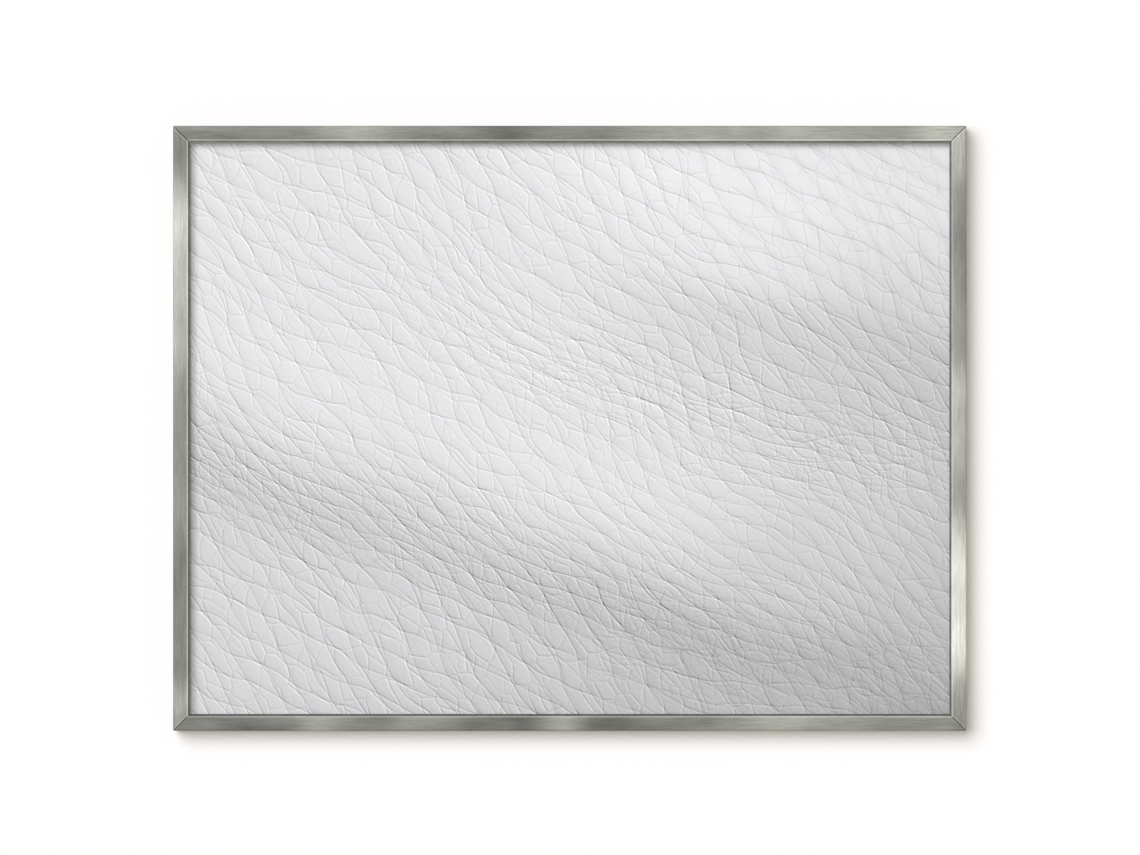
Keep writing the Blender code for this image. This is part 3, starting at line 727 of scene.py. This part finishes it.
def wire_ring(side):
    """Wire bent into a D: a straight leg, two arms and an arch, leaning on the frame."""
    arm = leg_half + bend_radius
    spring_line = ring_height - arm
    across = (0.0, 1.0, 0.0)
    ring = start_ring(wire_radius, wire_corners, (-leg_half, 0.0, 0.0), (0.0, math.pi / 2, 0.0))
    draw_out(2 * leg_half, 0.0, 0.0)
    bpy.ops.mesh.spin(steps=bend_steps, angle=math.pi / 2, center=(leg_half, 0.0, bend_radius), axis=across)
    draw_out(0.0, 0.0, spring_line - bend_radius)
    bpy.ops.mesh.spin(steps=arch_steps, angle=math.pi, center=(0.0, 0.0, spring_line), axis=across)
    draw_out(0.0, 0.0, bend_radius - spring_line)
    bpy.ops.mesh.spin(steps=bend_steps, angle=math.pi / 2, center=(-leg_half, 0.0, bend_radius), axis=across)
    close_piece(ring, "ring_" + side, wire_smooth)
    ring.rotation_euler = (ring_lean, 0.0, 0.0)
    ring.location = ring_pivot(side)
    bpy.ops.object.transform_apply()
    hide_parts("hanger_ring_" + side)
    return ring


def turned_piece(name, node, profile, corners, smooth_angle):
    """A body turned round the depth axis at a CAD solid's middle, drawn out ring by ring from its front.
    The profile's points are (radius, depth), depth measured from the solid's front."""
    middle, size = middle_of(node)
    front = middle.y - size.y / 2
    radius, depth = profile[0]
    piece = start_ring(radius, corners, (middle.x, front + depth, middle.z), (math.pi / 2, 0.0, 0.0))
    bpy.ops.mesh.edge_face_add()
    for wider, deeper in profile[1:]:
        draw_out(0.0, deeper - depth, 0.0)
        bpy.ops.transform.resize(value=(wider / radius, 1.0, wider / radius),
                                 center_override=(middle.x, front + deeper, middle.z))
        radius, depth = wider, deeper
    close_piece(piece, name, smooth_angle)
    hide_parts(node)
    return piece


def apply_modifier(piece, kind, **settings):
    bpy.ops.object.select_all(action="DESELECT")
    bpy.context.view_layer.objects.active = piece
    piece.select_set(True)
    bpy.ops.object.modifier_add(type=kind)
    modifier = piece.modifiers[-1]
    for setting, choice in settings.items():
        setattr(modifier, setting, choice)
    bpy.ops.object.modifier_apply(modifier=modifier.name)


def cut_away(piece, tool):
    """Takes the tool's shape out of the piece, and then the tool away."""
    apply_modifier(piece, "BOOLEAN", object=tool, operation="DIFFERENCE")
    bpy.data.objects.remove(tool)


screw_head, screw_rim, screw_shank = 2.75 * mm, 1.1 * mm, 1.5 * mm
screw_crown, screw_point = 0.6 * mm, 0.4 * mm
seat_bevel, seat_bevel_rise = 0.15 * mm, 0.12 * mm
screw_corners, crown_steps, screw_smooth = 40, 6, 32.0
cross_reach, cross_half, cross_depth = 1.5 * mm, 0.34 * mm, 0.95 * mm
cross_taper = 0.62


def cross_punch(middle, rear, reach, half):
    """One bar of the cross-shaped punch, tapered towards its point."""
    bpy.ops.object.select_all(action="DESELECT")
    bpy.ops.mesh.primitive_cube_add(size=2.0, location=(middle.x, rear, middle.z),
                                    scale=(reach, cross_depth, half))
    punch = bpy.context.object
    bpy.ops.object.transform_apply()
    bpy.ops.object.mode_set(mode="EDIT")
    bpy.ops.mesh.select_all(action="DESELECT")
    bpy.ops.object.mode_set(mode="OBJECT")
    for vert in punch.data.vertices:
        vert.select = vert.co.y < rear
    bpy.ops.object.mode_set(mode="EDIT")
    bpy.ops.transform.resize(value=(cross_taper, 1.0, cross_taper),
                             center_override=(middle.x, rear, middle.z))
    bpy.ops.object.mode_set(mode="OBJECT")
    return punch


def pan_screw(name, node):
    """A pan-head screw: plain shank with a pointed end, domed head, and a cross driven into it."""
    middle, size = middle_of(node)
    seat = size.y - screw_rim - screw_crown
    profile = [(screw_shank - screw_point, 0.0), (screw_shank, screw_point), (screw_shank, seat),
               (screw_head - seat_bevel, seat), (screw_head, seat + seat_bevel_rise),
               (screw_head, seat + screw_rim)]
    for step in range(1, crown_steps):
        angle = math.pi / 2 * step / crown_steps
        profile.append((screw_head * math.cos(angle), seat + screw_rim + screw_crown * math.sin(angle)))
    profile[-1] = (profile[-1][0], size.y)
    screw = turned_piece(name, node, profile, screw_corners, screw_smooth)
    rear = middle.y + size.y / 2
    cut_away(screw, cross_punch(middle, rear, cross_reach, cross_half))
    cut_away(screw, cross_punch(middle, rear, cross_half, cross_reach))
    bpy.ops.object.shade_smooth_by_angle(angle=math.radians(screw_smooth))
    return screw


strap_half, strap_tail, strap_sheet = 3.5 * mm, 29.0 * mm, 0.77 * mm
strap_round, round_rows, eye_steps = 2.5 * mm, 7, 20
front_sheet, rear_sheet, eye_middle = -1.565 * mm, -0.735 * mm, 1.565 * mm
eye_close = math.radians(258.0)
strap_neck = ((-0.52 * mm, -1.98 * mm), (-0.70 * mm, -2.45 * mm), (rear_sheet, -3.1 * mm))
strap_hole, hole_corners = 1.65 * mm, 32
strap_arris, strap_arris_segments, strap_arris_angle = 0.07 * mm, 2, math.radians(50.0)
strap_smooth = 40.0


def folded_strap(side):
    """A strip folded double round the ring's leg. It is drawn out row by row from its front end, over the
    eye and down to its rear end, then given its thickness, its screw holes and soft arrises."""
    pivot = ring_pivot(side)
    rows = []
    for row in range(round_rows + 1):
        angle = math.pi / 2 * row / round_rows
        rows.append((strap_half - strap_round * (1 - math.sin(angle)), strap_round * (1 - math.cos(angle))))
    path = [(half, front_sheet, rise - strap_tail) for half, rise in rows]
    for step in range(eye_steps + 1):
        angle = math.pi - eye_close * step / eye_steps
        path.append((strap_half, eye_middle * math.cos(angle), eye_middle * math.sin(angle)))
    path += [(strap_half, depth, up) for depth, up in strap_neck]
    path += [(half, rear_sheet, rise - strap_tail) for half, rise in reversed(rows)]

    first_half, first_depth, first_up = path[0]
    bpy.ops.object.select_all(action="DESELECT")
    bpy.ops.mesh.primitive_plane_add(size=2 * first_half)
    strap = bpy.context.object
    bpy.ops.object.mode_set(mode="EDIT")
    bpy.ops.mesh.select_all(action="SELECT")
    bpy.ops.mesh.merge(type="CENTER")
    bpy.ops.transform.translate(value=pivot + Vector((-first_half, first_depth, first_up)))
    draw_out(2 * first_half, 0.0, 0.0)
    bpy.ops.mesh.select_all(action="SELECT")
    for (half, depth, up), (next_half, next_depth, next_up) in zip(path, path[1:]):
        draw_out(0.0, next_depth - depth, next_up - up)
        bpy.ops.transform.resize(value=(next_half / half, 1.0, 1.0),
                                 center_override=pivot + Vector((0.0, next_depth, next_up)))
    close_piece(strap, "strap_" + side, strap_smooth)
    apply_modifier(strap, "SOLIDIFY", thickness=strap_sheet, offset=0.0, use_even_offset=True)
    for place in ("upper", "lower"):
        middle, size = middle_of(f"hanger_screw_{side}_{place}")
        bpy.ops.object.select_all(action="DESELECT")
        bpy.ops.mesh.primitive_cylinder_add(vertices=hole_corners, radius=strap_hole, depth=size.y,
                                            location=middle, rotation=(math.pi / 2, 0.0, 0.0))
        cut_away(strap, bpy.context.object)
    apply_modifier(strap, "BEVEL", width=strap_arris, segments=strap_arris_segments, limit_method="ANGLE",
                   angle_limit=strap_arris_angle)
    bpy.ops.object.shade_smooth_by_angle(angle=math.radians(strap_smooth))
    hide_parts("hanger_strap_" + side)
    return strap


nut_plate_arris = 0.12 * mm
nickel_finish = nickel_plate()
screw_finish = plated_screw()
for side in ("left", "right"):
    dress(folded_strap(side), nickel_finish, "board")
    dress(wire_ring(side), nickel_finish, side + "_ring")
    plate = fair_copy("hanger_nut_plate_" + side, "nut_plate_" + side, nut_plate_arris)
    dress(plate, zinc_finish, "board")
    for place in ("upper", "lower"):
        screw = pan_screw(f"strap_screw_{side}_{place}", f"hanger_screw_{side}_{place}")
        dress(screw, screw_finish, "board")


# Wall bumpers: moulded buttons of black rubber, stuck behind the bottom rail so that the board hangs
# clear of the wall. Dished at the end, with a parting line round the foot and a gate mark in the middle.
bumper_foot, bumper_top, bumper_rise = 6.0 * mm, 5.6 * mm, 4.7 * mm
bumper_round, parting_rise = 1.0 * mm, 0.6 * mm
parting_step, parting_slope = 0.14 * mm, 0.1 * mm
bumper_dish = ((4.3 * mm, 0.0), (4.05 * mm, 0.25 * mm), (3.7 * mm, 0.38 * mm), (1.1 * mm, 0.45 * mm))
gate_mark = ((1.0 * mm, 0.3 * mm), (0.6 * mm, 0.28 * mm))
bumper_corners, bumper_round_steps, bumper_smooth = 56, 7, 28.0
rubber_black, dusty_black = (0.020, 0.020, 0.021, 1.0), (0.070, 0.068, 0.064, 1.0)


def bumper_rubber():
    finish = Finish("bumper_rubber")
    spot = finish.point(*finish.place())
    pores = finish.noise(spot, size=0.3, detail=3.0, rough=0.6)
    dust = finish.ramp(finish.noise(spot, size=4.0, detail=3.0, rough=0.6), 0.0, 0.3)
    return finish.coat(
        Base_Color=finish.blend(dust * 0.6, rubber_black, dusty_black),
        Roughness=pores * 0.25 + 0.68, Normal=finish.relief(pores, depth=0.03 * mm))


bumper_finish = bumper_rubber()
for side in ("left", "right"):
    profile = [(bumper_foot, 0.0), (bumper_foot, parting_rise),
               (bumper_foot - parting_step, parting_rise + parting_slope)]
    for step in range(bumper_round_steps + 1):
        angle = math.pi / 2 * step / bumper_round_steps
        profile.append((bumper_top - bumper_round * (1 - math.cos(angle)),
                        bumper_rise - bumper_round * (1 - math.sin(angle))))
    profile += [(radius, bumper_rise - sunk) for radius, sunk in (*bumper_dish, *gate_mark)]
    bumper = turned_piece("bumper_" + side, "wall_bumper_" + side, profile, bumper_corners, bumper_smooth)
    dress(bumper, bumper_finish, "board")


# Wall, floor and light: a white room. Wall and floor show from the front and from above only, so that
# the board's back can be looked at, and soft light comes from the upper left, as in the photograph.
stage_size, floor_drop = 9.0, 1.5
wall_gap = 0.2 * mm
wall_paint, wall_glow = (0.955, 0.934, 0.939), 0.072
floor_paint, floor_glow = (0.75, 0.75, 0.74), 0.40


def pale_stage(name, colour, glow):
    """Paint that the camera sees from its front alone, and that lets all other light by."""
    finish = Finish(name)
    uneven = finish.noise(finish.point(*finish.place()), size=700.0, detail=2.0)
    rolled_on = finish.tint(colour, uneven * 0.004 + 1.0)
    paint = finish.result("BsdfDiffuse", "BSDF", sockets={"Color": rolled_on})
    light = finish.result("Emission", "Emission", sockets={"Strength": glow})
    lit_paint = finish.add("AddShader")
    finish.tree.links.new(paint, lit_paint.inputs[0])
    finish.tree.links.new(light, lit_paint.inputs[1])
    clear = finish.result("BsdfTransparent", "BSDF")
    seen = finish.amount("LightPath", "Is Camera Ray") * (1.0 - finish.amount("NewGeometry", "Backfacing"))
    finish.add("OutputMaterial", sockets={"Surface": finish.either(seen, clear, lit_paint.outputs[0])})
    return finish.holder


def stage_plane(name, material, location, rotation):
    bpy.ops.object.select_all(action="DESELECT")
    bpy.ops.mesh.primitive_plane_add(size=stage_size, location=location, rotation=rotation)
    bpy.ops.object.transform_apply()
    plane = bpy.context.object
    plane.name = name
    plane.data.materials.append(material)


floor_height = board_bottom * mm - floor_drop
stage_plane("wall", pale_stage("wall_paint", wall_paint, wall_glow),
            (0.0, wall_gap, floor_height + stage_size / 2), (math.pi / 2, 0.0, 0.0))
stage_plane("floor", pale_stage("floor_paint", floor_paint, floor_glow),
            (0.0, wall_gap - stage_size / 2, floor_height), (0.0, 0.0, 0.0))


def lamp(name, toward, share, colour, angle, in_gloss=True):
    """A far lamp that gives its share of the light on a surface that faces along the wall's normal."""
    bpy.ops.object.select_all(action="DESELECT")
    turn = Vector(toward).to_track_quat("Z", "Y").to_euler()
    bpy.ops.object.light_add(type="SUN", rotation=turn)
    sun = bpy.context.object
    sun.name = name
    sun.data.energy = share * math.pi * Vector(toward).length / abs(toward[1])
    sun.data.color = colour
    sun.data.angle = math.radians(angle)
    sun.visible_glossy = in_gloss
    sun.visible_transmission = False


daylight, lamplight, plain_light = (0.968, 1.0, 1.09), (1.09, 1.0, 0.72), (1.0, 1.0, 1.0)
window_side, room_side, rear_side = (-0.44, -1.0, 0.36), (0.0, -1.0, 0.0), (0.35, 1.0, 0.55)
lamp("window_light", window_side, share=0.60, colour=daylight, angle=48.0, in_gloss=False)
lamp("window_glint", window_side, share=0.12, colour=daylight, angle=48.0)
lamp("room_light", room_side, share=0.16, colour=lamplight, angle=6.0, in_gloss=False)
lamp("rear_light", rear_side, share=0.62, colour=plain_light, angle=30.0, in_gloss=False)
lamp("rear_glint", rear_side, share=0.08, colour=plain_light, angle=30.0)

white_level, dim_level = 1.0, 0.12
room = Finish("room", bpy.data.worlds.new("room"))
white_room = room.result("Background", "Background", sockets={
    "Color": (1.0, 1.0, 1.0, 1.0), "Strength": white_level})
dim_room = room.result("Background", "Background", sockets={
    "Color": (*lamplight, 1.0), "Strength": dim_level})
looked_at = room.amount("LightPath", "Is Camera Ray")
looked_at = looked_at.reckon("MAXIMUM", room.amount("LightPath", "Is Glossy Ray"))
looked_at = looked_at.reckon("MAXIMUM", room.amount("LightPath", "Is Transmission Ray"))
looked_at = looked_at * room.amount("LightPath", "Diffuse Depth").reckon("LESS_THAN", 0.5)
room.add("OutputWorld", sockets={"Surface": room.either(looked_at, dim_room, white_room)})
bpy.context.scene.world = room.holder
bpy.context.scene.view_settings.view_transform = "Standard"
